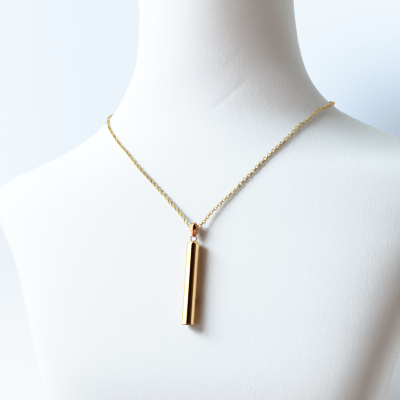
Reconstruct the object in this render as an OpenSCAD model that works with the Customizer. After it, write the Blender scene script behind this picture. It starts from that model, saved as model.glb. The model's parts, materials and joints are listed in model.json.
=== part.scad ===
// Tube whistle pendant on a fine cable chain, worn by a plain neck bust.
// Millimetres, +Z up, origin on the floor under the middle of the whole object.
// The bust faces -Y, and its left and right shoulders lie along X.

/* [Neck bust] */
// Height from the foot to the flat top of the neck
bust_height = 300; // [285:1:315]
// Width over both shoulders
shoulder_width = 314; // [305:1:325]
// Soft rounding of the foot and of the neck's top edge
bust_edge_r = 4; // [2:0.5:5]

/* [Chain] */
// Width of the links, and so of the tube that stands for them
chain_w = 1.8; // [1.4:0.1:2]
// Gap between the chain and the cloth under it
chain_gap = 0.25; // [0.1:0.05:0.6]
// Height of the chain's lowest point, where the bail hangs
hang_height = 140; // [136:1:144]

/* [Clasp] */
// Outer diameter of the spring ring
clasp_ring_d = 6; // [5:0.5:8]
// Diameter of the spring ring's hollow wire
clasp_wire_d = 1.5; // [1.2:0.1:1.8]
// Length over both end tags of the clasp
clasp_length = 13; // [12:0.5:16]

/* [Bail] */
// Width of the leaf at its widest
bail_w = 3.7; // [3.4:0.1:4]
// Thickness of the sheet
bail_t = 0.6; // [0.4:0.05:0.7]
// Inner radius of the arch that rides on the chain
bail_arch_r = 2.1; // [2.05:0.05:2.2]
// Radius of the crown across the leaf
bail_crown_r = 3; // [2.8:0.1:4]
// Radius of the bend of each leg, seen from the side
bail_leg_r = 8.75; // [8.25:0.25:9.25]
// Inner radius of the foot, where the two legs meet under the eye ring's wire
bail_foot_r = 0.6; // [0.6:0.05:0.7]

/* [Whistle tube] */
// Outer diameter of the tube
tube_d = 7; // [6.6:0.1:7.4]
// Length from the top to the open mouth
tube_length = 44.5; // [40:0.5:50]
// Thickness of the tube's wall
tube_wall = 0.5; // [0.4:0.05:0.8]
// Thickness of the closed top
tube_top = 1.2; // [0.8:0.1:2]
// Rounding of the top's edge
tube_top_r = 1.8; // [1:0.1:2.4]
// Gap between the resting tube and the cloth
tube_gap = 0.3; // [0.2:0.05:0.6]

/* [Eye ring] */
// Outer diameter of the ring soldered on the top
eye_d = 4; // [3.8:0.1:4.2]
// Diameter of the ring's wire
eye_wire_d = 0.75; // [0.6:0.05:0.8]

/* [Sound window] */
// Height of the window's lip above the mouth
window_up = 12; // [10:0.5:16]
// Height of the window, its ramp included
window_h = 2.8; // [2:0.1:4]
// Depth of the cut into the tube's side
window_depth = 1.2; // [0.8:0.05:1.4]
// Direction that the window faces, in degrees from the +X side towards the back
window_turn = 34; // [0:1:90]

/* [Fipple plug] */
// Height of the windway that the plug leaves open
windway_h = 0.9; // [0.6:0.05:1.2]
// Gap round the plug
plug_gap = 0.05; // [0.03:0.01:0.1]
// Depth that the plug's end lies inside the mouth
plug_recess = 0.4; // [0.2:0.1:1]

/* [Hidden] */

$fn = 64;
eps = 0.01;

// Horizontal sections of the bust at its nominal size. A section is two half ovals that meet at its
// widest line, and its fullness is 2 for an ellipse and more for a fuller, squarer outline.
HEIGHT = 0;
HALF_W = 1;
FRONT_Y = 2;
BACK_Y = 3;
WIDEST_Y = 4;
FULLNESS = 5;
SECTIONS = [
    [  0,    86,   -60,   65,   0, 7.0],
    [ 30,    91.5, -63,   66,   2, 7.0],
    [ 60,    99,   -64.5, 67,   6, 7.0],
    [ 90,   111,   -60,   67,  10, 6.0],
    [120,   126,   -53.8, 67,  16, 5.0],
    [140,   143,   -49.5, 67.5, 22, 3.8],
    [157,   157,   -46.2, 68,  30, 3.0],
    [170,   152,   -43.5, 67,  38, 2.6],
    [180,   131,   -41.4, 65,  43, 2.3],
    [189.5, 110.5, -39.6, 62,  42, 2.2],
    [198.5,  89,   -38.2, 54,  23, 2.1],
    [207.5,  70.5, -37.8, 44.5, 1, 2.0],
    [219.5,  58.5, -39,   37.5, -8.5, 2.0],
    [236,    50.5, -43,   32,  -9, 2.0],
    [262,    46.3, -50,   25, -12, 2.0],
    [300,    45.5, -58,   18, -18, 2.0],
];
bust_sides = 68;
bust_step = 5;
edge_steps = 4;
// The points round a section lie closer together towards the shoulders, where the outline is far out
shoulder_crowding = 1.6;

// The chain's route over the bust: the direction from the section's middle, 0 at the front and 180 at
// the back, the height on the -X side and on the +X side, and the lift off the cloth. It hangs a
// little lower on the -X side, and the pendant's thickness lifts it at the front.
TURN = 0;
LEFT_H = 1;
RIGHT_H = 2;
LIFT = 3;
chain_lift = chain_w / 2 + chain_gap;
hang_lift = tube_d / 2 + tube_gap;
ROUTE = [
    [  0,   hang_height,        hang_height,        hang_lift],
    [  1,   hang_height + 0.1,  hang_height + 0.1,  hang_lift],
    [  2.2, hang_height + 0.55, hang_height + 0.65, hang_lift - 0.1],
    [  3.5, hang_height + 2.1,  hang_height + 2.4,  hang_lift - 0.4],
    [  5,   hang_height + 4.5,  hang_height + 5.4,  hang_lift - 1],
    [ 10,   hang_height + 11.4, hang_height + 13.2, chain_lift + 0.7],
    [ 15,   158.8, 160.8, chain_lift + 0.2],
    [ 20,   166.8, 170.2, chain_lift + 0.05],
    [ 25,   175.4, 179.6, chain_lift + 0.05],
    [ 30,   183.4, 187.2, chain_lift],
    [ 37,   190.2, 193.2, chain_lift],
    [ 46,   194.9, 197.6, chain_lift],
    [ 57,   199.3, 201.6, chain_lift],
    [ 72,   204.2, 206.4, chain_lift + 0.05],
    [ 92,   209.4, 210.8, chain_lift + 0.1],
    [120,   213.6, 214.2, chain_lift + 0.05],
    [150,   216,   216,   chain_lift],
    [180,   216.6, 216.6, chain_lift],
];
chain_sides = 8;
chain_rings_a_side = 38;
// The rings lie closer together at the front, where the chain bends round the bail
chain_crowding = 1.15;

// The outline of the bail's leaf from the front: height over the chain's middle, half width over
// half the leaf's width
LEAF = [
    [-6.5, 0.19],
    [-5.6, 0.21],
    [-5.2, 0.24],
    [-4.8, 0.33],
    [-4.3, 0.47],
    [-3.7, 0.68],
    [-3,   0.88],
    [-2,   1],
    [-1,   0.99],
    [ 0,   0.91],
    [ 1,   0.73],
    [ 2,   0.57],
    [ 3,   0.51],
];
leaf_step = 0.25;
bail_outer_r = bail_arch_r + bail_t;
bail_leg_shift = bail_leg_r - bail_outer_r;

// The foot is an arc that runs on smoothly from both legs. The eye ring's wire runs over it, and the
// tube's top meets the ring.
bail_leg_bend = acos(bail_leg_shift / (bail_leg_r - bail_t - bail_foot_r));
bail_foot_down = bail_leg_shift * tan(bail_leg_bend);
foot_lip = 0.05;
foot_overlap = 6;
eye_line_r = (eye_d - eye_wire_d) / 2;
eye_clearance = 0.18;
eye_wire_down = bail_foot_down + bail_foot_r - eye_clearance - eye_wire_d / 2;
eye_down = eye_wire_down + eye_line_r;
solder_sink = 0.25;
tube_top_down = eye_down + eye_d / 2 - solder_sink;
tube_mouth_down = tube_top_down + tube_length;
bore_r = tube_d / 2 - tube_wall;
window_lip_down = tube_mouth_down - window_up;
plug_length = window_up - plug_recess;

// Smooth curve through one column of a table whose first column rises
function row_under(t, x, i = 0) = i >= len(t) - 2 || x < t[i + 1][0] ? i : row_under(t, x, i + 1);
function slope_at(t, c, i) =
    let (a = max(i - 1, 0), b = min(i + 1, len(t) - 1))
    (t[b][c] - t[a][c]) / (t[b][0] - t[a][0]);
function read_table(t, c, x) =
    let (
        i = row_under(t, x),
        w = t[i + 1][0] - t[i][0],
        u = (x - t[i][0]) / w,
        u2 = u * u,
        u3 = u2 * u
    )
    (2 * u3 - 3 * u2 + 1) * t[i][c] + (u3 - 2 * u2 + u) * w * slope_at(t, c, i)
    + (3 * u2 - 2 * u3) * t[i + 1][c] + (u3 - u2) * w * slope_at(t, c, i + 1);

// A point of the cloth at a height, in a direction from the section's middle: 0 is the front, 90 the
// +X side and 180 the back
nominal_height = SECTIONS[len(SECTIONS) - 1][HEIGHT];
nominal_width = 2 * max([for (s = SECTIONS) s[HALF_W]]);
// The middle of the whole object from front to back, which comes over the origin
middle_y = -0.3;
function edge_inset(h) =
    let (d = min(h, bust_height - h))
    d >= bust_edge_r ? 0 : bust_edge_r - sqrt(pow(bust_edge_r, 2) - pow(bust_edge_r - d, 2));
function skin(h, turn) =
    let (
        z = h * nominal_height / bust_height,
        half_w = read_table(SECTIONS, HALF_W, z) * shoulder_width / nominal_width,
        mid = read_table(SECTIONS, WIDEST_Y, z),
        front = mid - read_table(SECTIONS, FRONT_Y, z),
        back = read_table(SECTIONS, BACK_Y, z) - mid,
        n = read_table(SECTIONS, FULLNESS, z),
        depth = cos(turn) >= 0 ? front : back,
        reach = pow(pow(abs(sin(turn)) / half_w, n) + pow(abs(cos(turn)) / depth, n), -1 / n),
        r = reach - edge_inset(h)
    )
    [r * sin(turn), mid - r * cos(turn) + middle_y, h];

// The direction straight out of the cloth
function unit(v) = v / norm(v);
function skin_normal(h, turn) =
    let (
        along = skin(h, turn + 0.5) - skin(h, turn - 0.5),
        up = skin(h + 0.5, turn) - skin(h - 0.5, turn)
    )
    unit(cross(along, up));
function off_skin(h, turn, lift) = skin(h, turn) + lift * skin_normal(h, turn);

// Where the chain's middle carries the bail, and the lean of the chest there
hang_point = off_skin(hang_height, 0, hang_lift);
chest_out = skin_normal(hang_height - 20, 0);
chest_lean = atan2(chest_out[2], -chest_out[1]);

// A closed skin over rings of points, with a flat end at both rings
module skin_over(rings) {
    n = len(rings[0]);
    last = len(rings) - 1;
    points = [for (ring = rings) each ring];
    walls = [
        for (i = [0:last - 1], j = [0:n - 1])
            let (k = (j + 1) % n, a = i * n + j, b = i * n + k)
            each [[a, b + n, b], [a, a + n, b + n]]
    ];
    first_end = [for (j = [0:n - 1]) j];
    last_end = [for (j = [n - 1:-1:0]) last * n + j];
    polyhedron(points, concat(walls, [first_end, last_end]), convexity = 6);
}

module neck_bust() {
    foot = [for (i = [0:edge_steps - 1]) bust_edge_r * (1 - cos(90 * i / edge_steps))];
    body_h = bust_height - 2 * bust_edge_r;
    steps = ceil(body_h / bust_step);
    body = [for (i = [0:steps]) bust_edge_r + body_h * i / steps];
    top = [for (i = [edge_steps - 1:-1:0]) bust_height - foot[i]];
    heights = concat(foot, body, top);
    turns = [
        for (j = [0:bust_sides - 1])
            let (a = 360 * j / bust_sides)
            atan2(shoulder_crowding * sin(a), cos(a))
    ];
    color("whitesmoke")
        skin_over([for (h = heights) [for (turn = turns) skin(h, turn)]]);
}

// The route of the chain's middle line, from the clasp round the -X side to the front and back
function side_turn(i) = 180 * pow(i / chain_rings_a_side, chain_crowding);
clasp_point = off_skin(ROUTE[len(ROUTE) - 1][LEFT_H], 180, clasp_wire_d / 2 + chain_gap);
function route_point(turn, column) =
    off_skin(read_table(ROUTE, column, turn), column == LEFT_H ? -turn : turn, read_table(ROUTE, LIFT, turn));
clasp_half_turn = 12;
last_ring = max([for (i = [0:chain_rings_a_side]) side_turn(i) < 180 - clasp_half_turn ? i : 0]);
route = concat(
    [clasp_point - [clasp_length / 2, 0, 0]],
    [for (i = [last_ring:-1:1]) route_point(side_turn(i), LEFT_H)],
    [for (i = [0:last_ring]) route_point(side_turn(i), RIGHT_H)],
    [clasp_point + [clasp_length / 2, 0, 0]]
);

module chain() {
    last = len(route) - 1;
    rings = [
        for (i = [0:last])
            let (
                ahead = i == 0 ? [-1, 0, 0] : i == last ? [-1, 0, 0] : unit(route[i + 1] - route[i - 1]),
                side = unit(cross(ahead, [0, 0, 1])),
                up = cross(side, ahead)
            )
            [
                for (j = [0:chain_sides - 1])
                    let (a = 360 * (j + 0.5) / chain_sides)
                    route[i] + chain_w / 2 * (cos(a) * side + sin(a) * up)
            ]
    ];
    color("goldenrod") skin_over(rings);
}

// A spring ring that lies flat on the nape, with a straight tag at each side for the chain's ends
module clasp() {
    nape_out = skin_normal(ROUTE[len(ROUTE) - 1][LEFT_H], 180);
    nape_lean = atan2(nape_out[2], nape_out[1]);
    ring_line_r = (clasp_ring_d - clasp_wire_d) / 2;
    tag_length = clasp_length / 2 - ring_line_r;
    nub_length = 1.2;
    color("goldenrod")
        translate(clasp_point)
            rotate([nape_lean, 0, 0]) {
                rotate([90, 0, 0])
                    rotate_extrude()
                        translate([ring_line_r, 0])
                            circle(d = clasp_wire_d);
                for (s = [-1, 1])
                    translate([s * (ring_line_r + tag_length / 2), 0, 0])
                        rotate([0, 90, 0])
                            cylinder(d = chain_w, h = tag_length, center = true);
                rotate([0, 40, 0])
                    translate([0, 0, ring_line_r])
                        cylinder(d = clasp_wire_d * 0.6, h = clasp_wire_d / 2 + nub_length);
            }
}

// The pendant's own frame: its middle line runs down the chest from the chain's middle
module at_hang_point() {
    translate(hang_point)
        rotate([-chest_lean, 0, 0])
            children();
}

// A band round the X axis whose inner and outer faces are crowned alike. Its angles count from
// straight down, over the back, to the top and the front.
module crowned_band(outer_r, from, to) {
    rotate([0, 90, 0])
        rotate_extrude(start = from, angle = to - from, $fn = 144)
            intersection() {
                difference() {
                    translate([outer_r - bail_crown_r, 0])
                        circle(r = bail_crown_r, $fn = 144);
                    translate([outer_r - bail_t - bail_crown_r, 0])
                        circle(r = bail_crown_r, $fn = 144);
                }
                translate([0, -bail_w / 2])
                    square([outer_r + bail_t, bail_w]);
            }
}

// Cuts a band to the leaf's outline
module leaf_cut() {
    rows = [for (z = [LEAF[0][0]:leaf_step:LEAF[len(LEAF) - 1][0]]) z];
    half = [for (z = rows) [bail_w / 2 * read_table(LEAF, 1, z), z]];
    other_half = [for (i = [len(half) - 1:-1:0]) [-half[i][0], half[i][1]]];
    intersection() {
        children();
        rotate([90, 0, 0])
            linear_extrude(4 * bail_outer_r, center = true)
                polygon(concat(half, other_half));
    }
}

// The soldered foot, a plain band that is a little thicker than the two legs that end inside it
module foot_band() {
    half_angle = 90 - bail_leg_bend + foot_overlap;
    rotate([0, 90, 0])
        rotate_extrude(start = -half_angle, angle = 2 * half_angle)
            translate([bail_foot_r - foot_lip, -bail_w / 2])
                square([bail_t + 2 * foot_lip, bail_w]);
}

// One sheet, bent over the chain, whose two legs close round the eye ring's wire
module bail() {
    color("peru")
        at_hang_point() {
            leaf_cut()
                crowned_band(bail_outer_r, 90, 270);
            leaf_cut()
                translate([0, bail_leg_shift, 0])
                    crowned_band(bail_leg_r, 270, 270 + bail_leg_bend);
            leaf_cut()
                translate([0, -bail_leg_shift, 0])
                    crowned_band(bail_leg_r, 90 - bail_leg_bend, 90);
            leaf_cut()
                translate([0, 0, -bail_foot_down])
                    foot_band();
        }
}

module eye_ring() {
    translate([0, 0, -eye_down])
        rotate([90, 0, 0])
            rotate_extrude()
                translate([eye_line_r, 0])
                    circle(d = eye_wire_d, $fn = 32);
}

// The cut for the sound window: square at the lip, and a ramp above it
module window_cut() {
    inner = tube_d / 2 - window_depth;
    beyond = 1;
    outer = tube_d / 2 + beyond;
    lip_h = 0.5;
    rotate([0, 0, window_turn])
        translate([0, 0, -window_lip_down])
            rotate([90, 0, 0])
                linear_extrude(tube_d, center = true)
                    polygon([
                        [inner, 0],
                        [outer, 0],
                        [outer, window_h + (window_h - lip_h) * beyond / window_depth],
                        [inner, lip_h],
                    ]);
}

module whistle_tube() {
    bore_length = tube_length - tube_top;
    color("gold")
        at_hang_point() {
            difference() {
                translate([0, 0, -tube_mouth_down])
                    rotate_extrude() {
                        square([tube_d / 2, tube_length - tube_top_r]);
                        square([tube_d / 2 - tube_top_r, tube_length]);
                        translate([tube_d / 2 - tube_top_r, tube_length - tube_top_r])
                            intersection() {
                                circle(r = tube_top_r);
                                square(tube_top_r);
                            }
                    }
                translate([0, 0, -tube_mouth_down - eps])
                    cylinder(r = bore_r, h = bore_length + eps);
                window_cut();
            }
            eye_ring();
        }
}

module fipple_plug() {
    plug_r = bore_r - plug_gap;
    beyond = 1;
    color("darkgoldenrod")
        at_hang_point()
            translate([0, 0, -tube_mouth_down + plug_recess])
                rotate([0, 0, window_turn])
                    difference() {
                        cylinder(r = plug_r, h = plug_length);
                        translate([bore_r - windway_h, -tube_d, -beyond])
                            cube([tube_d, 2 * tube_d, plug_length + 2 * beyond]);
                    }
}

neck_bust();
chain();
clasp();
bail();
whistle_tube();
fipple_plug();
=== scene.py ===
import json
import math

import bmesh
import bpy
import numpy as np
from mathutils import Matrix, Vector
from mathutils.bvhtree import BVHTree


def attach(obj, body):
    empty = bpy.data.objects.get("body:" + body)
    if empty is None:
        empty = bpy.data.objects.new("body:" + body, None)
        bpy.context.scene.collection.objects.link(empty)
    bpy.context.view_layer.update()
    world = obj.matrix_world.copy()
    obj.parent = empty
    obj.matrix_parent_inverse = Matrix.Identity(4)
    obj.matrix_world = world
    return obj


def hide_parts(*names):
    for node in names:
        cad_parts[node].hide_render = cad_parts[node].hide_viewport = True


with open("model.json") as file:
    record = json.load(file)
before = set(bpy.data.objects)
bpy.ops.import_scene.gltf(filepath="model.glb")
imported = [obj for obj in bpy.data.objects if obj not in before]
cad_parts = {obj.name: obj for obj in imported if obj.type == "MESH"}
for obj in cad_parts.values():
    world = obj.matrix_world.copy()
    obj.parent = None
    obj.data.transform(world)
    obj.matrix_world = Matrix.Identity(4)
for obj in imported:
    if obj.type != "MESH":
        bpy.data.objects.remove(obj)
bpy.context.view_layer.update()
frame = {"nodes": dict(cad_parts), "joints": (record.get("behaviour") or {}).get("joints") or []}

# Lengths are in millimetres where a name ends in _MM, and in metres elsewhere
MM = 0.001

# The bust's cloth: how much finer it is than the frame round and up, its threads, and their height
STEPS_ROUND = 3
STEPS_UP = 4
WARP_SPACING = 0.00052
WEFT_SPACING = 0.00058
CLOTH_RELIEF = 0.00015

# The creases of the cloth run from the throat up towards the +X side. Each row is a crease's start
# across and up the cloth, its length, and the share of the full depth that it has
CREASE_TURN = math.radians(38)
CREASES = ((0.0052, 0.2112, 0.026, 0.5), (0.0123, 0.2337, 0.014, 0.3))
CREASE_DIP = 0.00017
CREASE_DIP_WIDTH = 0.0028
CREASE_BELOW = 0.0028
CREASE_ABOVE = 0.0022

# The depths of the metal's polishing marks and waves
MARK_RELIEF = 0.0000008
WAVE_RELIEF = 0.000012

# The tube, with its eye ring and its window. Its sizes and the bail's are those of the frame
TUBE_R_MM = 3.5
BORE_R_MM = 3.0
TUBE_TOP_MM = 7.937
TUBE_TOP_ROUNDING_MM = 1.8
TUBE_TOP_THICKNESS_MM = 1.2
TUBE_LENGTH_MM = 44.5
EYE_LINE_R_MM = 1.625
EYE_WIRE_R_MM = 0.375
WINDOW_UP_MM = 12
WINDOW_HEIGHT_MM = 2.8
WINDOW_LIP_MM = 0.5
WINDOW_DEPTH_MM = 1.2
WINDOW_TURN = math.radians(34)
MOUTH_ROUNDING_MM = 0.16
TUBE_SIDES = 144
EYE_LINE_SIDES = 56
EYE_WIRE_SIDES = 16

# The mound of solder between the tube and its eye ring
MOUND_HALF_MM = (1.15, 0.72)
MOUND_HEIGHT_MM = 0.5
MOUND_SUNK_MM = 0.05
MOUND_ROWS = 7
MOUND_SIDES = 32

# The tube's material slots after its own gold
RING_INDEX = 1
PAINTED_SHADE_INDEX = 2

# The bail, and the share of its widest that it has at heights over the chain's middle line
BAIL_ARCH_OUTER_MM = 2.7
BAIL_SHEET_MM = 0.6
BAIL_LEG_R_MM = 8.75
BAIL_FOOT_R_MM = 0.6
BAIL_CROWN_MM = 3
BAIL_EDGE_MM = 0.14
BAIL_STEPS = 36
BAIL_HALF_WIDTH_MM = 1.85
BAIL_LEAF = (
    (-6.5, 0.19),
    (-5.6, 0.21),
    (-5.2, 0.24),
    (-4.8, 0.33),
    (-4.3, 0.47),
    (-3.7, 0.68),
    (-3.0, 0.88),
    (-2.0, 1.0),
    (-1.0, 0.99),
    (0.0, 0.91),
    (1.0, 0.73),
    (2.0, 0.57),
    (3.0, 0.51),
)

# The clasp stands between the two ends of the chain's tube
CLASP_LENGTH_MM = 13

# The chain's links. Near the cloth they lean to one side and the other by turns. Where the chain hangs
# free, all turn on by as much again, so that one lies flat and the next stands
LINK_LENGTH_MM = 2.55
LINK_WIDTH_MM = 2.4
LINK_WIRE_MM = 0.66
LINK_PITCH_MM = 1.58
LINK_LEAN = math.radians(45)
NEAR_ROOM_MM = 1.12
FREE_ROOM_MM = 1.32


class Value:
    """One output of a node tree, with Python's own operators."""

    def __init__(self, tree, output):
        self.tree = tree
        self.output = output

    def maths(self, operation, *others):
        places = dict(enumerate((self, *others)))
        return self.tree.add("ShaderNodeMath", {"operation": operation}, places)

    def __add__(self, other):
        return self.maths("ADD", other)

    __radd__ = __add__

    def __mul__(self, other):
        return self.maths("MULTIPLY", other)

    __rmul__ = __mul__

    def __sub__(self, other):
        return self.maths("SUBTRACT", other)

    def __rsub__(self, other):
        return (self * -1) + other

    def sine(self):
        return self.maths("SINE")

    def over_range(self, low, high, to_low=0.0, to_high=1.0):
        """Maps low to to_low and high to to_high smoothly, and holds both outside."""
        settings = {"interpolation_type": "SMOOTHSTEP"}
        places = {"Value": self, "From Min": low, "From Max": high, "To Min": to_low, "To Max": to_high}
        return self.tree.add("ShaderNodeMapRange", settings, places)


class Tree:
    """The node tree of a material or of the world."""

    def __init__(self, owner):
        owner.use_nodes = True
        self.nodes = owner.node_tree.nodes
        self.links = owner.node_tree.links
        self.nodes.clear()

    def add(self, kind, settings=None, places=None, output=0):
        node = self.nodes.new(kind)
        for name, value in (settings or {}).items():
            setattr(node, name, value)
        for socket, value in (places or {}).items():
            if isinstance(value, Value):
                self.links.new(value.output, node.inputs[socket])
            else:
                node.inputs[socket].default_value = value
        return Value(self, node.outputs[output]) if node.outputs else node

    def blend(self, factor, a, b):
        return self.add("ShaderNodeMix", {"data_type": "RGBA"}, {0: factor, 6: a, 7: b}, output=2)

    def scaled(self, vector, factors):
        return self.add("ShaderNodeVectorMath", {"operation": "MULTIPLY"}, {0: vector, 1: factors})

    def noise(self, vector, scale, detail=2.0, roughness=0.5):
        places = {"Vector": vector, "Scale": scale, "Detail": detail, "Roughness": roughness}
        return self.add("ShaderNodeTexNoise", None, places)

    def part(self, vector, axis):
        return self.add("ShaderNodeSeparateXYZ", None, {0: vector}, output="XYZ".index(axis))

    def bump(self, height, distance):
        places = {"Height": height, "Distance": distance, "Strength": 1.0}
        return self.add("ShaderNodeBump", None, places)

    def surface(self, **values):
        places = {name.replace("_", " "): value for name, value in values.items()}
        shader = self.add("ShaderNodeBsdfPrincipled", None, places)
        self.add("ShaderNodeOutputMaterial", None, {"Surface": shader})


def new_material(name):
    material = bpy.data.materials.new(name)
    return material, Tree(material)


def along_crease(from_start, over_start):
    """The lengths along a crease and square to it, from the lengths across and up from its start."""
    along = from_start * math.cos(CREASE_TURN) + over_start * math.sin(CREASE_TURN)
    over = over_start * math.cos(CREASE_TURN) - from_start * math.sin(CREASE_TURN)
    return along, over


def cloth_material():
    """White crepe cloth with fine upright streaks, over an even weave."""
    material, tree = new_material("linen")
    uv = tree.add("ShaderNodeUVMap", {"uv_map": "cloth"})
    across = tree.part(uv, "X")
    up = tree.part(uv, "Y")
    slub = tree.noise(tree.scaled(uv, (1.0, 0.28, 1.0)), 1600.0, 3.0, 0.6)
    crepe = tree.noise(tree.scaled(uv, (1.0, 0.5, 1.0)), 520.0, 2.0, 0.55)
    drift = tree.noise(uv, 22.0, 2.0)
    warp = (across * (2 * math.pi / WARP_SPACING)).sine()
    weft = (up * (2 * math.pi / WEFT_SPACING)).sine()
    height = slub + crepe * 0.5 + warp * weft * 0.06
    for start_across, start_up, length, depth in CREASES:
        along, over = along_crease(across - start_across, up - start_up)
        dip = over.over_range(-CREASE_BELOW, 0.0) * over.over_range(0.0, CREASE_ABOVE, 1.0, 0.0)
        ends = along.over_range(-0.004, 0.005)
        ends = ends * along.over_range(length - 0.005, length + 0.003, 1.0, 0.0)
        height = height - dip * ends * depth
    tone = (slub * 0.05 + drift * 0.03 + 0.96).maths("MINIMUM", 1.0)
    white = tree.blend(tone, (0.72, 0.71, 0.70, 1), (0.86, 0.86, 0.865, 1))
    tree.surface(
        Base_Color=white,
        Roughness=slub * 0.1 + 0.78,
        Specular_IOR_Level=0.25,
        Sheen_Weight=0.2,
        Sheen_Roughness=0.4,
        Normal=tree.bump(height, CLOTH_RELIEF),
    )
    return material


def metal_material(name, colour, worn_colour, roughness):
    """Polished metal with faint smudges, hairline polishing marks and a slightly wavy face."""
    material, tree = new_material(name)
    place = tree.add("ShaderNodeTexCoord", None, None, output=3)
    smudge = tree.noise(place, 320.0, 3.0)
    marks = tree.noise(tree.scaled(place, (1.0, 1.0, 0.06)), 9000.0, 2.0)
    waves = tree.noise(place, 150.0, 1.0)
    tint = tree.blend(smudge.over_range(0.35, 0.75), (*colour, 1), (*worn_colour, 1))
    tree.surface(
        Base_Color=tint,
        Metallic=1.0,
        Roughness=smudge.over_range(0.3, 0.8, roughness, roughness * 1.8) + marks * 0.01,
        Normal=tree.bump(marks * MARK_RELIEF + waves * WAVE_RELIEF, 1.0),
    )
    return material


def new_object(name, points, faces, material, uv=None, smooth=True):
    """A mesh object with its points in metres, and with one UV per face corner if uv is given."""
    mesh = bpy.data.meshes.new(name)
    mesh.from_pydata([tuple(p) for p in points], [], faces)
    if uv is not None:
        layer = mesh.uv_layers.new(name="cloth")
        layer.data.foreach_set("uv", np.asarray(uv, dtype=np.float32).ravel())
    mesh.validate()
    mesh.polygons.foreach_set("use_smooth", [smooth] * len(mesh.polygons))
    mesh.materials.append(material)
    made = bpy.data.objects.new(name, mesh)
    bpy.context.scene.collection.objects.link(made)
    return made


def outward(made):
    """Turns all faces of the object outwards."""
    shape = bmesh.new()
    shape.from_mesh(made.data)
    bmesh.ops.remove_doubles(shape, verts=shape.verts, dist=1e-8)
    bmesh.ops.recalc_face_normals(shape, faces=shape.faces)
    shape.to_mesh(made.data)
    shape.free()


def own_points(node):
    """The node's separate points, and its triangles as indices into them."""
    mesh = frame["nodes"][node].data
    points = np.empty(len(mesh.vertices) * 3)
    mesh.vertices.foreach_get("co", points)
    separate, index = np.unique(np.round(points.reshape(-1, 3), 7), axis=0, return_inverse=True)
    triangles = [index.ravel()[list(p.vertices)] for p in mesh.polygons]
    return separate, triangles


def smooth_through(rows, times, per_step, closed=False):
    """Points on a smooth curve through the rows, per_step to each step of the rows."""
    count = len(rows)
    if closed:
        rows = np.concatenate([rows[-1:], rows, rows[:2]])
        lap = times[-1]
        times = np.concatenate([[times[-2] - lap], times, [times[1] + lap]])
    else:
        rows = np.concatenate([2 * rows[:1] - rows[1:2], rows, 2 * rows[-1:] - rows[-2:-1]])
        times = np.concatenate([2 * times[:1] - times[1:2], times, 2 * times[-1:] - times[-2:-1]])
    steps = count if closed else count - 1
    made = []
    for i in range(1, steps + 1):
        width = times[i + 1] - times[i]
        start_slope = (rows[i + 1] - rows[i - 1]) / (times[i + 1] - times[i - 1]) * width
        end_slope = (rows[i + 2] - rows[i]) / (times[i + 2] - times[i]) * width
        for k in range(per_step):
            u = k / per_step
            start = (2 * u**3 - 3 * u**2 + 1) * rows[i] + (u**3 - 2 * u**2 + u) * start_slope
            made.append(start + (3 * u**2 - 2 * u**3) * rows[i + 1] + (u**3 - u**2) * end_slope)
    if not closed:
        made.append(rows[-2])
    return np.array(made)


def lengths_along(points):
    """The length from the first point to each point."""
    steps = np.linalg.norm(np.diff(points, axis=0), axis=-1)
    return np.concatenate([[0], np.cumsum(steps)])


def grid_faces(rows, columns, close_rows=False):
    """The four-cornered faces between rings of points, and back to the first ring with close_rows."""
    last_row = rows if close_rows else rows - 1
    return [
        (
            i * columns + j,
            i * columns + (j + 1) % columns,
            (i + 1) % rows * columns + (j + 1) % columns,
            (i + 1) % rows * columns + j,
        )
        for i in range(last_row)
        for j in range(columns)
    ]


# The pendant's own frame hangs from the chain's middle line and leans with the chest
joints = {joint["name"]: joint for joint in frame["joints"]}
HANG = np.array(joints["bail_lift"]["pos_m"])
OUT = np.array(joints["tube_swing"]["axis"])
OUT /= np.linalg.norm(OUT)
SIDE = np.array([1.0, 0.0, 0.0])
UP = np.cross(OUT, SIDE)
UP *= np.sign(UP[2])
EYE_DOWN_MM = float(np.dot(HANG - np.array(joints["tube_swing"]["pos_m"]), UP)) / MM


def hanging(points_mm):
    """Points given across, towards the chest and up from the hang point, as places in metres."""
    local = np.asarray(points_mm, dtype=float) * MM
    return HANG + local[:, :1] * SIDE - local[:, 1:2] * OUT + local[:, 2:] * UP


def ring_of(radius, z, sides):
    """A level ring of points."""
    turns = 2 * np.pi * np.arange(sides) / sides
    return np.stack([radius * np.cos(turns), radius * np.sin(turns), np.full(sides, z)], axis=1)


def torus_points(line_r, wire_r, line_sides, wire_sides):
    """A ring that stands in the plane across and up."""
    rows = []
    for i in range(line_sides):
        a = 2 * math.pi * i / line_sides
        for k in range(wire_sides):
            b = 2 * math.pi * k / wire_sides
            r = line_r + wire_r * math.cos(b)
            rows.append((r * math.cos(a), wire_r * math.sin(b), r * math.sin(a)))
    return np.array(rows)


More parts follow.
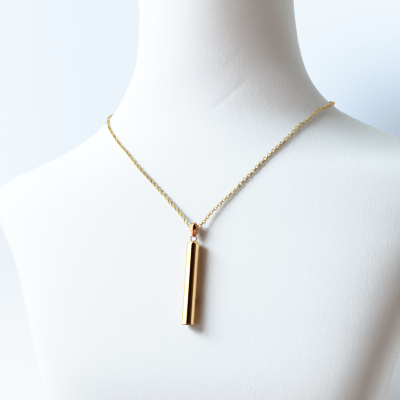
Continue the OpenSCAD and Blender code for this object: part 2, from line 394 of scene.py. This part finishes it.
# The neck bust
def build_bust(material):
    """The bust with its cloth, drawn smoothly through the frame's rings."""
    points, _ = own_points("neck_bust")
    rings = []
    for height in np.unique(np.round(points[:, 2], 6)):
        ring = points[np.abs(points[:, 2] - height) < 2e-6]
        middle = (ring[:, 1].min() + ring[:, 1].max()) / 2
        turn = (np.arctan2(ring[:, 0], middle - ring[:, 1]) + 1e-4) % (2 * np.pi)
        ring = ring[np.argsort(turn)]
        lap = lengths_along(np.concatenate([ring, ring[:1]]))
        rings.append(smooth_through(ring, lap, STEPS_ROUND, closed=True))
    rings = np.array(rings)
    shell = smooth_through(rings, lengths_along(rings[:, 0]), STEPS_UP)
    rows, columns = shell.shape[:2]
    around = np.array([lengths_along(np.concatenate([row, row[:1]])) for row in shell])
    up = lengths_along(shell[:, 0])

    # Each crease is a soft dip of the shell, and the cloth's own bump gives it a sharper line
    away = shell - shell.mean(axis=1, keepdims=True)
    away /= np.linalg.norm(away, axis=2, keepdims=True)
    lap = np.where(np.arange(columns) < columns // 2, 0, around[:, -1:])
    for start_across, start_up, length, depth in CREASES:
        along, over = along_crease(around[:, :-1] - lap - start_across, up[:, None] - start_up)
        dip = np.exp(-((over / CREASE_DIP_WIDTH) ** 2) - (2 * along / length - 1) ** 2)
        shell = shell - away * dip[..., None] * depth * CREASE_DIP

    # Places on the cloth are lengths across from the middle of the front, either way, and up
    faces = grid_faces(rows, columns)
    corners = []
    for i in range(rows - 1):
        for j in range(columns):
            for a, b in ((i, j), (i, j + 1), (i + 1, j + 1), (i + 1, j)):
                lap = around[a, -1] if j >= columns // 2 else 0
                corners.append((around[a, b] - lap, up[a]))

    # The flat foot and the flat top are closed by smaller and smaller rings and a middle point
    all_points = [shell.reshape(-1, 3)]
    count = rows * columns
    for edge_row in (0, rows - 1):
        edge = shell[edge_row]
        middle = edge.mean(axis=0)
        before = edge_row * columns
        for share in (0.8, 0.5, 0.2):
            all_points.append(middle + (edge - middle) * share)
            for j in range(columns):
                k = (j + 1) % columns
                faces.append((before + j, before + k, count + k, count + j))
            before = count
            count += columns
        all_points.append(middle[None])
        faces.extend((before + j, before + (j + 1) % columns, count) for j in range(columns))
        count += 1
    all_points = np.concatenate(all_points)
    flat_faces = faces[(rows - 1) * columns :]
    corners.extend(tuple(all_points[v][:2]) for face in flat_faces for v in face)
    bust = new_object("neck_bust_cloth", all_points, faces, material, corners)
    outward(bust)
    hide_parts("neck_bust")
    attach(bust, "stand")


# The chain
def chain_line():
    """The chain's middle line, ring by ring from one end of the frame's tube to the other."""
    points, triangles = own_points("chain")
    neighbours = [set() for _ in points]
    for a, b, c in triangles:
        neighbours[a].update((b, c))
        neighbours[b].update((a, c))
        neighbours[c].update((a, b))
    # The tube's flat ends are at the back, half a clasp from the middle. The line starts at the -X one
    back = points[:, 1] > points[:, 1].max() - 0.004
    end_x = points[back, 0][np.argmin(np.abs(points[back, 0] + CLASP_LENGTH_MM / 2 * MM))]
    layer = {i for i in np.nonzero(back)[0] if abs(points[i, 0] - end_x) < 1e-6}
    seen = set(layer)
    line = []
    while layer:
        line.append(points[list(layer)].mean(axis=0))
        layer = {n for i in layer for n in neighbours[i]} - seen
        seen |= layer
    return np.array(line)


def link_tree(material):
    """Geometry nodes that put one oval wire link on each point, turned by its two directions."""
    tree = bpy.data.node_groups.new("chain_links", "GeometryNodeTree")
    tree.interface.new_socket("Geometry", in_out="INPUT", socket_type="NodeSocketGeometry")
    for name in ("Half Length", "Half Width", "Wire Radius"):
        tree.interface.new_socket(name, in_out="INPUT", socket_type="NodeSocketFloat")
    tree.interface.new_socket("Material", in_out="INPUT", socket_type="NodeSocketMaterial")
    tree.interface.new_socket("Geometry", in_out="OUTPUT", socket_type="NodeSocketGeometry")

    def node(kind, settings=None, **places):
        made = tree.nodes.new(kind)
        for name, value in (settings or {}).items():
            setattr(made, name, value)
        for name, value in places.items():
            socket = made.inputs[name.replace("_", " ")]
            if isinstance(value, bpy.types.NodeSocket):
                tree.links.new(value, socket)
            else:
                socket.default_value = value
        return made

    given = node("NodeGroupInput").outputs
    circle = ("GeometryNodeCurvePrimitiveCircle", {"mode": "RADIUS"})
    line = node(*circle, Resolution=12, Radius=1.0).outputs["Curve"]
    sizes = {"X": given["Half Length"], "Y": given["Half Width"], "Z": 1.0}
    size = node("ShaderNodeCombineXYZ", **sizes).outputs[0]
    oval = node("GeometryNodeTransform", Geometry=line, Scale=size).outputs["Geometry"]
    wire = node(*circle, Resolution=5, Radius=given["Wire Radius"]).outputs["Curve"]
    link = node("GeometryNodeCurveToMesh", Curve=oval, Profile_Curve=wire).outputs["Mesh"]
    smooth = node("GeometryNodeSetShadeSmooth", Geometry=link).outputs["Geometry"]
    attribute = ("GeometryNodeInputNamedAttribute", {"data_type": "FLOAT_VECTOR"})
    turn = node("FunctionNodeAxesToRotation", {"primary_axis": "X", "secondary_axis": "Z"})
    tree.links.new(node(*attribute, Name="along").outputs[0], turn.inputs[0])
    tree.links.new(node(*attribute, Name="facing").outputs[0], turn.inputs[1])
    placed = node(
        "GeometryNodeInstanceOnPoints", Points=given["Geometry"], Instance=smooth, Rotation=turn.outputs[0]
    )
    real = node("GeometryNodeRealizeInstances", Geometry=placed.outputs[0]).outputs[0]
    finished = node("GeometryNodeSetMaterial", Geometry=real, Material=given["Material"]).outputs[0]
    node("NodeGroupOutput", Geometry=finished)
    return tree


def build_chain(material):
    """The cable chain: oval wire links along the middle line of the frame's tube."""
    line = chain_line()
    fine = smooth_through(line, lengths_along(line), 12)
    length = lengths_along(fine)
    count = round(length[-1] / (LINK_PITCH_MM * MM))
    at = (np.arange(count) + 0.5) * length[-1] / count

    def line_at(places):
        return np.stack([np.interp(places, length, fine[:, i]) for i in range(3)], axis=1)

    centres = line_at(at)
    along = line_at(at + 0.5 * MM) - line_at(at - 0.5 * MM)
    along /= np.linalg.norm(along, axis=1, keepdims=True)
    bust_points, bust_faces = own_points("neck_bust")
    bust = BVHTree.FromPolygons(bust_points.tolist(), [face.tolist() for face in bust_faces])
    facing = []
    for i, centre in enumerate(centres):
        nearest = bust.find_nearest(Vector(centre))[0]
        out = (Vector(centre) - nearest).normalized()
        tangent = Vector(along[i])
        out = (out - tangent * out.dot(tangent)).normalized()
        room_mm = (Vector(centre) - nearest).length / MM
        free = min(max((room_mm - NEAR_ROOM_MM) / (FREE_ROOM_MM - NEAR_ROOM_MM), 0), 1)
        way = 1 if i % 2 else -1
        facing.append(Matrix.Rotation(LINK_LEAN * (way - free), 3, tangent) @ out)
    base = bpy.data.meshes.new("chain_base")
    base.from_pydata([tuple(c) for c in centres], [], [])
    for name, vectors in (("along", along), ("facing", np.array([tuple(f) for f in facing]))):
        attribute = base.attributes.new(name, "FLOAT_VECTOR", "POINT")
        attribute.data.foreach_set("vector", np.asarray(vectors, dtype=np.float32).ravel())
    carrier = bpy.data.objects.new("chain_carrier", base)
    bpy.context.scene.collection.objects.link(carrier)
    tree = link_tree(material)
    modifier = carrier.modifiers.new("links", "NODES")
    modifier.node_group = tree
    sockets = {s.name: s.identifier for s in tree.interface.items_tree if s.in_out == "INPUT"}
    modifier[sockets["Half Length"]] = (LINK_LENGTH_MM - LINK_WIRE_MM) / 2 * MM
    modifier[sockets["Half Width"]] = (LINK_WIDTH_MM - LINK_WIRE_MM) / 2 * MM
    modifier[sockets["Wire Radius"]] = LINK_WIRE_MM / 2 * MM
    modifier[sockets["Material"]] = material
    evaluated = carrier.evaluated_get(bpy.context.evaluated_depsgraph_get())
    mesh = bpy.data.meshes.new_from_object(evaluated)
    carrier.modifiers.remove(modifier)
    bpy.data.objects.remove(carrier)
    mesh.name = "chain_links"
    chain = bpy.data.objects.new("chain_links", mesh)
    bpy.context.scene.collection.objects.link(chain)
    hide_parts("chain")
    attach(chain, "stand")


# The bail
def bail_profile(steps):
    """The closed bail's outer line from the side: places, and outward directions, towards and up."""
    shift = BAIL_LEG_R_MM - BAIL_ARCH_OUTER_MM
    bend = math.acos(shift / (BAIL_LEG_R_MM - BAIL_SHEET_MM - BAIL_FOOT_R_MM))
    foot_down = shift * math.tan(bend)
    half = math.pi / 2
    # Each part is its centre, its radius, and the turn from straight up, towards the chest, at its ends
    parts = (
        ((0.0, 0.0), BAIL_ARCH_OUTER_MM, 0.0, half),
        ((-shift, 0.0), BAIL_LEG_R_MM, half, half + bend),
        ((0.0, -foot_down), BAIL_FOOT_R_MM + BAIL_SHEET_MM, half + bend, 3 * half - bend),
        ((shift, 0.0), BAIL_LEG_R_MM, 3 * half - bend, 3 * half),
        ((0.0, 0.0), BAIL_ARCH_OUTER_MM, 3 * half, 4 * half),
    )
    places = []
    directions = []
    for centre, radius, start, end in parts:
        for k in range(steps):
            a = start + (end - start) * k / steps
            direction = (math.sin(a), math.cos(a))
            directions.append(direction)
            places.append((centre[0] + radius * direction[0], centre[1] + radius * direction[1]))
    return places, directions


def build_bail(material):
    """A sheet bent over the chain, crowned across, whose two leaf-shaped legs meet at the foot."""
    places, directions = bail_profile(BAIL_STEPS)
    leaf = np.array(BAIL_LEAF)
    leaf_line = smooth_through(leaf, leaf[:, 0], 8)
    shares = np.linspace(-1, 1, 21)
    rounding = []
    for a in np.radians((30, 60, 90)):
        rounding.append((BAIL_EDGE_MM * math.sin(a), BAIL_EDGE_MM * (1 - math.cos(a))))
    rows = []
    for (y, z), (ny, nz) in zip(places, directions):
        half_width = BAIL_HALF_WIDTH_MM * float(np.interp(z, leaf_line[:, 0], leaf_line[:, 1]))
        flat = half_width - BAIL_EDGE_MM
        # The section goes along the outer face, round one edge, back inside and round the other edge
        section = [(flat * share, 0.0) for share in shares]
        section += [(flat + out, -down) for out, down in rounding]
        section += [(flat + out, down - BAIL_SHEET_MM) for out, down in rounding[::-1]]
        section += [(flat * share, -BAIL_SHEET_MM) for share in shares[::-2]]
        section += [(-flat - out, down - BAIL_SHEET_MM) for out, down in rounding]
        section += [(-flat - out, -down) for out, down in rounding[::-1]]
        for x, depth in section:
            crown = math.sqrt(BAIL_CROWN_MM**2 - x**2) - BAIL_CROWN_MM
            rows.append((x, y + (depth + crown) * ny, z + (depth + crown) * nz))
    per_row = len(rows) // len(places)
    faces = grid_faces(len(places), per_row, close_rows=True)
    bail = new_object("bail_sheet", hanging(rows), faces, material)
    outward(bail)
    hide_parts("bail")
    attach(bail, "bail")


# The whistle tube
def lathe(profile, sides):
    """A turned solid whose profile starts and ends on the axis."""
    points = [(0.0, 0.0, profile[0][1])]
    for r, z in profile[1:-1]:
        points.extend(map(tuple, ring_of(r, z, sides)))
    points.append((0.0, 0.0, profile[-1][1]))
    rows = len(profile) - 2
    faces = [tuple(i + 1 for i in face) for face in grid_faces(rows, sides)]
    last = len(points) - 1
    for j in range(sides):
        k = (j + 1) % sides
        faces.append((0, 1 + k, 1 + j))
        faces.append((last, last - sides + j, last - sides + k))
    return points, faces


def arc(centre, radius, start, end, count):
    """Points of an arc in the profile's plane, with angles in degrees from the outward direction."""
    turns = np.radians(np.linspace(start, end, count))
    return [(centre[0] + radius * math.cos(a), centre[1] + radius * math.sin(a)) for a in turns]


def straight(start, end, steps):
    """The points between the two ends of a straight run of the profile, without the ends."""
    return [tuple(a + (b - a) * k / steps for a, b in zip(start, end)) for k in range(1, steps)]


def build_tube(material, ring_painted_shade_material, dull_painted_shade_material):
    """The closed tube with its bore, its cut window, and the ring soldered on its top."""
    top = -TUBE_TOP_MM
    bore_top = top - TUBE_TOP_THICKNESS_MM
    wall_top = top - TUBE_TOP_ROUNDING_MM
    mouth = -(TUBE_TOP_MM + TUBE_LENGTH_MM)
    rim = MOUTH_ROUNDING_MM
    wall_end = mouth + rim
    shoulder = TUBE_R_MM - TUBE_TOP_ROUNDING_MM
    profile = [(0.0, top)]
    profile += straight((0.0, top), (shoulder, top), 6)
    profile += arc((shoulder, wall_top), TUBE_TOP_ROUNDING_MM, 90, 0, 15)
    profile += straight((TUBE_R_MM, wall_top), (TUBE_R_MM, wall_end), 40)
    profile += arc((TUBE_R_MM - rim, wall_end), rim, 0, -90, 5)
    profile += arc((BORE_R_MM + rim, wall_end), rim, -90, -180, 5)
    profile += straight((BORE_R_MM, wall_end), (BORE_R_MM, bore_top), 40)
    profile += [(BORE_R_MM, bore_top), (BORE_R_MM / 2, bore_top), (0.0, bore_top)]
    points, faces = lathe(profile, TUBE_SIDES)
    tube = new_object("whistle_tube_gold", hanging(points), faces, material)
    outward(tube)

    # The window is square at its lip and runs out upwards in a ramp
    beyond = 1
    inner = TUBE_R_MM - WINDOW_DEPTH_MM
    outer = TUBE_R_MM + beyond
    rise = WINDOW_HEIGHT_MM + beyond * (WINDOW_HEIGHT_MM - WINDOW_LIP_MM) / WINDOW_DEPTH_MM
    outline = ((inner, 0.0), (outer, 0.0), (outer, rise), (inner, WINDOW_LIP_MM))
    cut = []
    for reach in (-TUBE_R_MM, TUBE_R_MM):
        for r, z in outline:
            x = r * math.cos(WINDOW_TURN) - reach * math.sin(WINDOW_TURN)
            y = r * math.sin(WINDOW_TURN) + reach * math.cos(WINDOW_TURN)
            cut.append((x, y, z + mouth + WINDOW_UP_MM))
    cut_faces = [(0, 1, 2, 3), (7, 6, 5, 4), (0, 4, 5, 1), (1, 5, 6, 2), (2, 6, 7, 3), (3, 7, 4, 0)]
    cutter = new_object("window_cutter", hanging(cut), cut_faces, material, smooth=False)
    outward(cutter)
    modifier = tube.modifiers.new("window", "BOOLEAN")
    modifier.operation = "DIFFERENCE"
    modifier.solver = "EXACT"
    modifier.object = cutter
    evaluated = tube.evaluated_get(bpy.context.evaluated_depsgraph_get())
    mesh = bpy.data.meshes.new_from_object(evaluated)
    tube.modifiers.remove(modifier)
    tube.data = mesh
    bpy.data.objects.remove(cutter)

    # The bore, the mouth's edge and the cut of the window are left unpolished, and their very dark colour
    # is painted shade
    mesh.materials.append(ring_painted_shade_material)
    mesh.materials.append(dull_painted_shade_material)
    centres = np.array([tuple(polygon.center) for polygon in mesh.polygons]) - HANG
    heights = centres @ UP / MM
    from_axis = np.hypot(centres @ SIDE, centres @ OUT) / MM
    painted_shade_faces = (from_axis < TUBE_R_MM * 0.985) & (heights < wall_top)
    mesh.polygons.foreach_set("material_index", np.where(painted_shade_faces, PAINTED_SHADE_INDEX, 0).astype(np.int32))

    # The eye ring and a low mound of solder at its foot, in the ring's gold, whose darkened colour is
    # painted shade
    ring = torus_points(EYE_LINE_R_MM, EYE_WIRE_R_MM, EYE_LINE_SIDES, EYE_WIRE_SIDES)
    ring = ring - np.array([0, 0, EYE_DOWN_MM])
    ring_faces = grid_faces(EYE_LINE_SIDES, EYE_WIRE_SIDES, close_rows=True)
    mound = []
    for i in range(MOUND_ROWS):
        share = i / (MOUND_ROWS - 1)
        spread = 0.45 + 0.55 * (1 - share) ** 2
        row = ring_of(spread, top - MOUND_SUNK_MM + MOUND_HEIGHT_MM * share, MOUND_SIDES)
        mound.extend(row * (*MOUND_HALF_MM, 1))
    mound_faces = grid_faces(MOUND_ROWS, MOUND_SIDES)
    shape = bmesh.new()
    shape.from_mesh(mesh)
    for points, faces in ((ring, ring_faces), (mound, mound_faces)):
        verts = [shape.verts.new(p) for p in hanging(points)]
        for face in faces:
            made = shape.faces.new([verts[i] for i in face])
            made.smooth = True
            made.material_index = RING_INDEX

    # The mound was made last, and its two open ends are closed
    shape.faces.new(verts[-MOUND_SIDES:])
    shape.faces.new(verts[:MOUND_SIDES][::-1])
    shape.to_mesh(mesh)
    shape.free()
    mesh.set_sharp_from_angle(angle=math.radians(35))
    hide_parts("whistle_tube")
    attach(tube, "pendant")


cloth = cloth_material()
gold = metal_material("gold", (0.95, 0.68, 0.34), (0.93, 0.64, 0.30), 0.05)
chain_gold = metal_material("chain_gold", (0.74, 0.58, 0.28), (0.55, 0.41, 0.19), 0.06)
rose_gold = metal_material("rose_gold", (0.62, 0.30, 0.17), (0.50, 0.22, 0.12), 0.08)
# The ring's gold is darkened: painted shade on the eye ring and its solder mound
ring_painted_shade_gold = metal_material("ring_painted_shade_gold", (0.42, 0.26, 0.15), (0.34, 0.21, 0.11), 0.12)
# The dull gold's very dark colour is painted shade, for the tube's bore, mouth edge and window cut
dull_painted_shade_gold = metal_material("dull_painted_shade_gold", (0.18, 0.11, 0.045), (0.13, 0.08, 0.03), 0.35)

build_bust(cloth)
build_chain(chain_gold)
build_bail(rose_gold)
build_tube(gold, ring_painted_shade_gold, dull_painted_shade_gold)
for node_name, node_material in (("clasp", chain_gold), ("fipple_plug", gold)):
    node = frame["nodes"][node_name]
    node.data.materials.clear()
    node.data.materials.append(node_material)

# A pale floor, with a soft shade behind the bust on the side away from the light
floor_material, floor_tree = new_material("floor")
floor_place = floor_tree.add("ShaderNodeTexCoord", None, None, output=3)
floor_tone = floor_tree.noise(floor_place, 3.0, 3.0)
floor_x = floor_tree.part(floor_place, "X")
floor_y = floor_tree.part(floor_place, "Y")
floor_shade = floor_x.over_range(-0.06, 0.05) * floor_x.over_range(0.3, 1.2, 1.0, 0.0)
floor_shade = floor_shade * floor_y.over_range(0.0, 0.18) * floor_y.over_range(0.6, 1.6, 1.0, 0.0)
floor_tree.surface(
    Base_Color=floor_tree.blend(floor_tone, (0.44, 0.44, 0.44, 1), (0.48, 0.48, 0.48, 1)),
    Emission_Color=floor_tree.blend(floor_shade, (0.82, 0.98, 1.2, 1), (0.0, 0.0, 0.0, 1)),
    Emission_Strength=0.6,
    Roughness=0.6,
)
FLOOR_HALF = 12.0
FLOOR_TOP = -0.0005
FLOOR_SIGNS = ((-1, -1), (1, -1), (1, 1), (-1, 1))
floor_corners = [(FLOOR_HALF * x, FLOOR_HALF * y, FLOOR_TOP) for x, y in FLOOR_SIGNS]
floor = new_object("floor", floor_corners, [(0, 1, 2, 3)], floor_material)
floor.visible_diffuse = False
floor.visible_glossy = False

# The camera's place was found from the pendant's place and size in the picture. It stands back from the
# hang point along its line of sight, and a little to the right and up
CAMERA_TURN = math.radians(18)
CAMERA_PITCH = math.radians(-1)
CAMERA_DISTANCE = 0.470
CAMERA_RIGHTWARD = 0.00305
CAMERA_UPWARD = 0.0147
camera_look = Vector(
    (
        -math.sin(CAMERA_TURN) * math.cos(CAMERA_PITCH),
        math.cos(CAMERA_TURN) * math.cos(CAMERA_PITCH),
        -math.sin(CAMERA_PITCH),
    )
)
camera_right = Vector((math.cos(CAMERA_TURN), math.sin(CAMERA_TURN), 0))
camera_up = camera_right.cross(camera_look)
camera_data = bpy.data.cameras.new("camera")
camera_data.sensor_width = 36
camera_data.lens = 78.26
camera_data.clip_start = 0.01
camera = bpy.data.objects.new("camera", camera_data)
camera_axes = Matrix((camera_right, camera_up, -camera_look)).transposed().to_4x4()
camera_place = Vector(HANG) - CAMERA_DISTANCE * camera_look
camera_place += CAMERA_RIGHTWARD * camera_right + CAMERA_UPWARD * camera_up
camera.matrix_world = Matrix.Translation(camera_place) @ camera_axes
bpy.context.scene.collection.objects.link(camera)
bpy.context.scene.camera = camera

# A large soft light, from the front, the left and above, aimed at the middle of the chest
LIGHT_TURN = math.radians(-57)
LIGHT_HEIGHT = math.radians(30)
LIGHT_DISTANCE = 1.2
LIGHT_AIM = Vector((0, -0.04, 0.15))
from_chest = Vector(
    (
        math.sin(LIGHT_TURN) * math.cos(LIGHT_HEIGHT),
        -math.cos(LIGHT_TURN) * math.cos(LIGHT_HEIGHT),
        math.sin(LIGHT_HEIGHT),
    )
)
light_data = bpy.data.lights.new("soft_light", "AREA")
light_data.shape = "RECTANGLE"
light_data.size = 0.86
light_data.size_y = 0.52
light_data.energy = 23.5
light_data.color = (0.86, 1.02, 1.13)
light = bpy.data.objects.new("soft_light", light_data)
light.location = LIGHT_AIM + from_chest * LIGHT_DISTANCE
light.rotation_euler = from_chest.to_track_quat("Z", "Y").to_euler()
light.visible_camera = False
light.visible_glossy = False
bpy.context.scene.collection.objects.link(light)

# The room round the scene, by the turn from the front in degrees, counted towards +X, and by height
world = bpy.data.worlds.new("room")
bpy.context.scene.world = world
room = Tree(world)
direction = room.add("ShaderNodeTexCoord", None, None, output=0)
x = room.part(direction, "X")
y = room.part(direction, "Y")
z = room.part(direction, "Z")
turn = x.maths("ARCTAN2", y * -1) * (180 / math.pi)
path = room.nodes.new("ShaderNodeLightPath")
camera_ray = Value(room, path.outputs["Is Camera Ray"])
glossy_ray = Value(room, path.outputs["Is Glossy Ray"])

# Pale walls, with a dark part round the camera that is a warm brown below
pale = room.blend(glossy_ray, (0.86, 0.92, 0.93, 1), (1.03, 0.9, 1.0, 1))
front = room.blend(glossy_ray, (0.006, 0.011, 0.012, 1), (0.03, 0.009, 0.003, 1))
below = z.over_range(-0.12, 0.02, 1.0, 0.0)
dark = room.blend(below, front, (0.46, 0.115, 0.0, 1))
dim = turn.over_range(-19, -12) * turn.over_range(66, 78, 1.0, 0.0)
colour = room.blend(dim, pale, dark)

# A dim brown part on the +X side of the dark one
dusk = room.blend(glossy_ray, (0.055, 0.06, 0.058, 1), (0.10, 0.055, 0.04, 1))
brown = turn.over_range(38, 44) * turn.over_range(66, 78, 1.0, 0.0)
colour = room.blend(brown, colour, dusk)

# A pale card low in front, that only the metal shows
card = turn.over_range(2, 22) * turn.over_range(36, 56, 1.0, 0.0) * z.over_range(-0.6, -0.35)
card = card * z.over_range(-0.14, 0.06, 1.0, 0.0) * glossy_ray
colour = room.blend(card, colour, (1.3, 1.6, 1.75, 1))

# A bright panel on the -X side, where the light comes from
bright = room.blend(glossy_ray, (0.9, 0.92, 0.94, 1), (2.9, 3.2, 3.5, 1))
panel = turn.over_range(-92, -84) * turn.over_range(-25, -19, 1.0, 0.0) * z.over_range(-0.6, -0.3)
colour = room.blend(panel, colour, bright)

# The pale backdrop that is seen directly, shaded low on the +X side
backdrop = room.blend(x.over_range(-0.56, -0.4), (1.04, 1.24, 1.72, 1), (0.9, 1.06, 1.34, 1))
backdrop = room.blend(x.over_range(-0.32, -0.2), backdrop, (1.0, 1.2, 1.6, 1))
shaded = x.over_range(-0.26, -0.08) * z.over_range(0.08, 0.26, 1.0, 0.0)
backdrop = room.blend(shaded, backdrop, (0.52, 0.59, 0.67, 1))
colour = room.blend(camera_ray, colour, backdrop)
background = room.add("ShaderNodeBackground", None, {"Color": colour, "Strength": 1.0})
room.add("ShaderNodeOutputWorld", None, {"Surface": background})

# The picture's tones: soft highlights and deep, warm darks. Each pair is a level and the tone it gets
TONES = ((0.03, 0.035), (0.1, 0.17), (0.25, 0.46), (0.4, 0.77), (0.5, 0.885), (0.6, 0.93), (0.8, 0.975))
RED_TONES = ((0.3, 0.295), (0.9, 0.875))
BLUE_TONES = ((0.3, 0.295), (0.9, 0.925))
view = bpy.context.scene.view_settings
view.view_transform = "Standard"
view.use_curve_mapping = True
mapping = view.curve_mapping
mapping.white_level = (2.0, 2.0, 2.0)
for curve, pairs in ((3, TONES), (0, RED_TONES), (2, BLUE_TONES)):
    for level, tone in pairs:
        mapping.curves[curve].points.new(level, tone)
mapping.update()
